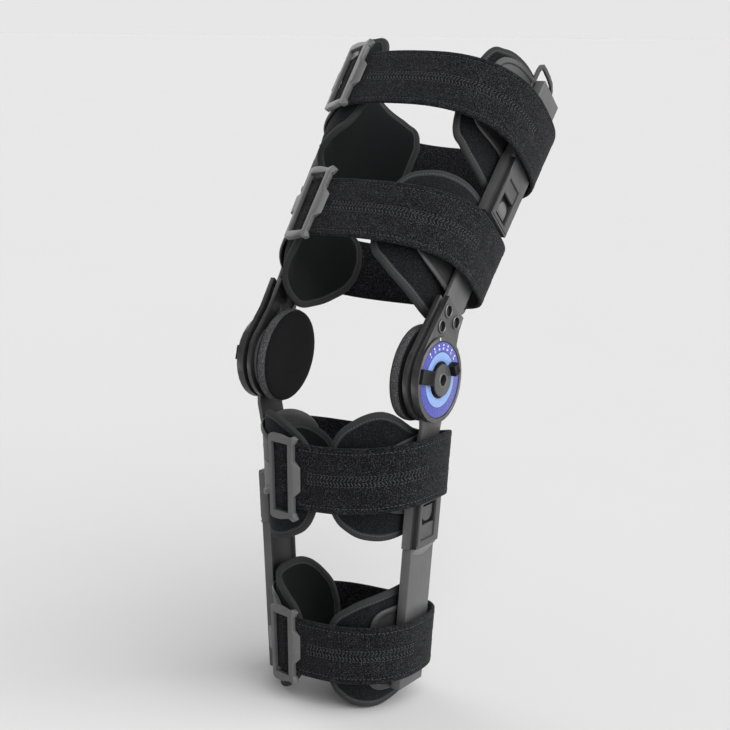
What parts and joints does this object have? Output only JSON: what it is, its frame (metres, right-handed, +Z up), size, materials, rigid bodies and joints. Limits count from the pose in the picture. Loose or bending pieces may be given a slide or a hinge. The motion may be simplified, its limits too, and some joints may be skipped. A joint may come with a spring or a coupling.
{
  "type": "leg immobilizer brace",
  "caption": "Hinged leg brace worn over the knee: padded wings on jointed side uprights with dial hinges, and wide straps with frame buckles round thigh and calf.",
  "frame": {"origin": "knee centre: the middle of the common axis of both hinges, midway between the two sides", "axes": "+X towards the side whose dial faces the camera, +Y to the back of the leg, +Z up along the calf"},
  "size_m": [0.2108, 0.2903, 0.5478],
  "materials": {
    "strap_elastic": "brushed loop fabric, near black",
    "pad_fabric": "matt padded fabric, blue-black with grey binding",
    "bar_metal": "satin grey",
    "hinge_metal": "satin dark grey",
    "frame_plastic": "satin moulded grey",
    "dial_print": "printed blue scale",
    "stop_plastic": "gloss black"
  },
  "bodies": {
    "thigh": {"right_hinge_outer_plate": "hinge_metal", "right_hinge_inner_plate": "hinge_metal", "right_dial_face": "dial_print", "right_hub": "hinge_metal", "right_condyle_backing": "frame_plastic", "right_condyle_pad": "pad_fabric", "right_thigh_bar": "bar_metal", "right_thigh_extension": "bar_metal", "right_thigh_latch_housing": "frame_plastic", "right_thigh_upper_carrier": "frame_plastic", "right_thigh_upper_pad": "pad_fabric", "right_thigh_lower_carrier": "frame_plastic", "right_thigh_lower_pad": "pad_fabric", "left_hinge_outer_plate": "hinge_metal", "left_hinge_inner_plate": "hinge_metal", "left_dial_face": "dial_print", "left_hub": "hinge_metal", "left_condyle_backing": "frame_plastic", "left_condyle_pad": "pad_fabric", "left_thigh_bar": "bar_metal", "left_thigh_extension": "bar_metal", "left_thigh_latch_housing": "frame_plastic", "left_thigh_upper_carrier": "frame_plastic", "left_thigh_upper_pad": "pad_fabric", "left_thigh_lower_carrier": "frame_plastic", "left_thigh_lower_pad": "pad_fabric", "thigh_upper_strap": "strap_elastic", "thigh_upper_buckle": "frame_plastic", "thigh_lower_strap": "strap_elastic", "thigh_lower_buckle": "frame_plastic"},
    "calf": {"right_calf_bar": "bar_metal", "right_calf_extension": "bar_metal", "right_calf_latch_housing": "frame_plastic", "right_calf_upper_carrier": "frame_plastic", "right_calf_upper_pad": "pad_fabric", "right_calf_lower_carrier": "frame_plastic", "right_calf_lower_pad": "pad_fabric", "left_calf_bar": "bar_metal", "left_calf_extension": "bar_metal", "left_calf_latch_housing": "frame_plastic", "left_calf_upper_carrier": "frame_plastic", "left_calf_upper_pad": "pad_fabric", "left_calf_lower_carrier": "frame_plastic", "left_calf_lower_pad": "pad_fabric", "calf_upper_strap": "strap_elastic", "calf_upper_buckle": "frame_plastic", "calf_lower_strap": "strap_elastic", "calf_lower_buckle": "frame_plastic"},
    "right_flexion_stop": {"right_flexion_stop": "stop_plastic"},
    "right_extension_stop": {"right_extension_stop": "stop_plastic"},
    "left_flexion_stop": {"left_flexion_stop": "stop_plastic"},
    "left_extension_stop": {"left_extension_stop": "stop_plastic"},
    "right_thigh_latch_button": {"right_thigh_latch_button": "frame_plastic"},
    "right_calf_latch_button": {"right_calf_latch_button": "frame_plastic"},
    "left_thigh_latch_button": {"left_thigh_latch_button": "frame_plastic"},
    "left_calf_latch_button": {"left_calf_latch_button": "frame_plastic"}
  },
  "joints": [
    {"name": "knee_flexion", "type": "hinge", "parent": "thigh", "child": "calf", "pos_m": [0, 0, 0], "axis": [1, 0, 0], "range_deg": [-43, 77]},
    {"name": "right_flexion_stop_turn", "type": "hinge", "parent": "thigh", "child": "right_flexion_stop", "pos_m": [0, 0, 0], "axis": [1, 0, 0], "range_deg": [-22, 48]},
    {"name": "right_extension_stop_turn", "type": "hinge", "parent": "thigh", "child": "right_extension_stop", "pos_m": [0, 0, 0], "axis": [1, 0, 0], "range_deg": [-30, 30]},
    {"name": "left_flexion_stop_turn", "type": "hinge", "parent": "thigh", "child": "left_flexion_stop", "pos_m": [0, 0, 0], "axis": [1, 0, 0], "range_deg": [-22, 48]},
    {"name": "left_extension_stop_turn", "type": "hinge", "parent": "thigh", "child": "left_extension_stop", "pos_m": [0, 0, 0], "axis": [1, 0, 0], "range_deg": [-30, 30]},
    {"name": "right_thigh_latch_press", "type": "slide", "parent": "thigh", "child": "right_thigh_latch_button", "axis": [-1, 0, 0], "range_m": [0, 0.0018], "stiffness_N_per_m": 400},
    {"name": "right_calf_latch_press", "type": "slide", "parent": "calf", "child": "right_calf_latch_button", "axis": [-1, 0, 0], "range_m": [0, 0.0018], "stiffness_N_per_m": 400},
    {"name": "left_thigh_latch_press", "type": "slide", "parent": "thigh", "child": "left_thigh_latch_button", "axis": [1, 0, 0], "range_m": [0, 0.0018], "stiffness_N_per_m": 400},
    {"name": "left_calf_latch_press", "type": "slide", "parent": "calf", "child": "left_calf_latch_button", "axis": [1, 0, 0], "range_m": [0, 0.0018], "stiffness_N_per_m": 400}
  ]
}
